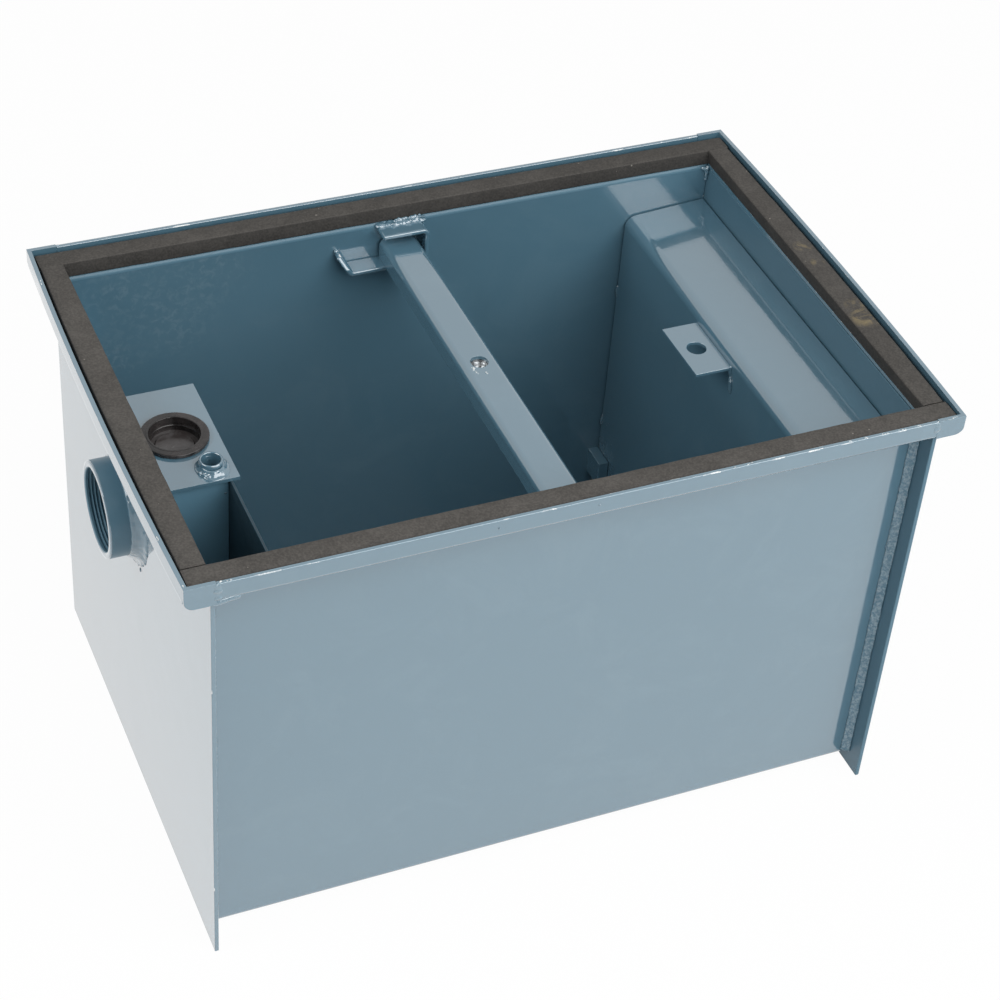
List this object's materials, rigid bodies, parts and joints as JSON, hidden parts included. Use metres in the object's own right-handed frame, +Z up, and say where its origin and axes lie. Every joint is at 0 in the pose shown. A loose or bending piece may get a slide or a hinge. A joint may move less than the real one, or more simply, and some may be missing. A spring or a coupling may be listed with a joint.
{
  "type": "grease trap",
  "caption": "Welded steel grease trap: open tank with folded rim and gasket, pipe couplings, lift-out inlet baffle, outlet box with vent and plug, and a crossbar for the cover bolt.",
  "frame": {"origin": "on the ground under the middle of the tank", "axes": "+X along the tank from the outlet end to the inlet end, +Y from the front wall to the back wall, +Z up"},
  "size_m": [0.5692, 0.3804, 0.3561],
  "materials": {
    "painted_steel": "glossy blue-grey enamel",
    "gasket_rubber": "matte sponge rubber",
    "plug_rubber": "smooth black rubber",
    "bare_steel": "bare threaded steel with paint round its edge"
  },
  "bodies": {
    "tank": {"tank_wrapper": "painted_steel", "left_end_plate": "painted_steel", "right_end_plate": "painted_steel", "left_end_rail": "painted_steel", "right_end_rail": "painted_steel", "seam_welds": "painted_steel", "front_gasket": "gasket_rubber", "back_gasket": "gasket_rubber", "left_gasket": "gasket_rubber", "right_gasket": "gasket_rubber", "outlet_coupling": "painted_steel", "inlet_coupling": "painted_steel", "back_bar_hook": "painted_steel", "front_bar_hook": "painted_steel", "back_baffle_guide": "painted_steel", "front_baffle_guide": "painted_steel", "outlet_plate": "painted_steel", "outlet_box_front": "painted_steel", "outlet_box_back": "painted_steel", "outlet_box_lid": "painted_steel", "vent_tube": "painted_steel"},
    "crossbar": {"crossbar": "painted_steel", "bar_nut": "bare_steel"},
    "baffle": {"inlet_baffle": "painted_steel", "lift_tab": "painted_steel"},
    "plug": {"cleanout_plug": "plug_rubber"}
  },
  "joints": [
    {"name": "crossbar_turn", "type": "hinge", "parent": "tank", "child": "crossbar", "pos_m": [-0.0035, 0, 0.32], "axis": [0, 0, 1], "range_deg": [0, 8]},
    {"name": "baffle_lift", "type": "slide", "parent": "tank", "child": "baffle", "axis": [0, 0, 1], "range_m": [0, 0.35]},
    {"name": "plug_pull", "type": "slide", "parent": "tank", "child": "plug", "axis": [0, 0, 1], "range_m": [0, 0.03]}
  ]
}
